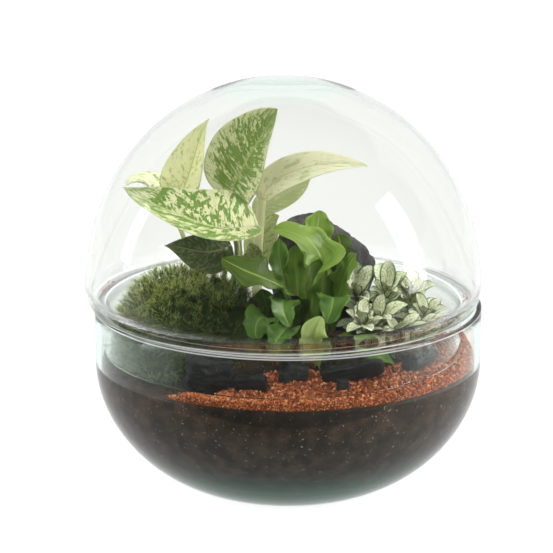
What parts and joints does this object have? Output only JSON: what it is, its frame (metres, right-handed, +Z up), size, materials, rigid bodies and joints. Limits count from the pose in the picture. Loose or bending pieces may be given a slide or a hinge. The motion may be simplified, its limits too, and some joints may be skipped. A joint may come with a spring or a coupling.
{
  "type": "glass plant terrarium",
  "caption": "Round glass bowl with a domed glass lid, planted with marbled pothos, a wavy fern, fittonia and moss on soil with red grit and stones.",
  "frame": {"origin": "middle of the bowl's flat foot, on the surface it stands on", "axes": "+Z up through the dome; the pictured front faces -Y, with the moss towards -X"},
  "size_m": [0.23, 0.2296, 0.2384],
  "materials": {
    "clear_glass": "clear and polished, faint green where thick",
    "potting_soil": "damp fine crumbs with pale specks",
    "red_grit": "dry coarse grains",
    "moss": "fine soft star-shaped tufts",
    "lava_rock": "rough and pitted",
    "slate": "damp, split faces with a dull sheen",
    "pothos": "smooth, slightly waxy, marbled green on cream",
    "fern": "smooth and glossy",
    "fittonia": "matt, silvery veins with a green margin"
  },
  "bodies": {
    "root": {"glass_bowl": "clear_glass", "glass_dome": "clear_glass", "potting_soil": "potting_soil", "red_gravel": "red_grit", "moss_cushion": "moss", "back_rock": "lava_rock", "slate_1": "slate", "slate_2": "slate", "slate_3": "slate", "slate_4": "slate", "slate_5": "slate", "slate_6": "slate", "slate_7": "slate", "pothos_leaf_tall": "pothos", "pothos_leaf_rolled": "pothos", "pothos_leaf_rear_left": "pothos", "pothos_leaf_front": "pothos", "pothos_stem_right": "pothos", "pothos_leaf_rear": "pothos", "pothos_leaf_shaded": "pothos", "pothos_leaf_young": "pothos", "fern_frond_01": "fern", "fern_frond_02": "fern", "fern_frond_03": "fern", "fern_frond_04": "fern", "fern_frond_05": "fern", "fern_frond_06": "fern", "fern_frond_07": "fern", "fern_frond_08": "fern", "fern_frond_09": "fern", "fern_frond_10": "fern", "fern_frond_11": "fern", "fern_frond_12": "fern", "fern_frond_13": "fern", "fittonia_stem_1": "fittonia", "fittonia_stem_2": "fittonia", "fittonia_stem_3": "fittonia", "fittonia_stem_4": "fittonia", "fittonia_stem_5": "fittonia", "fittonia_stem_6": "fittonia", "fittonia_stem_7": "fittonia", "fittonia_stem_8": "fittonia"}
  },
  "joints": []
}
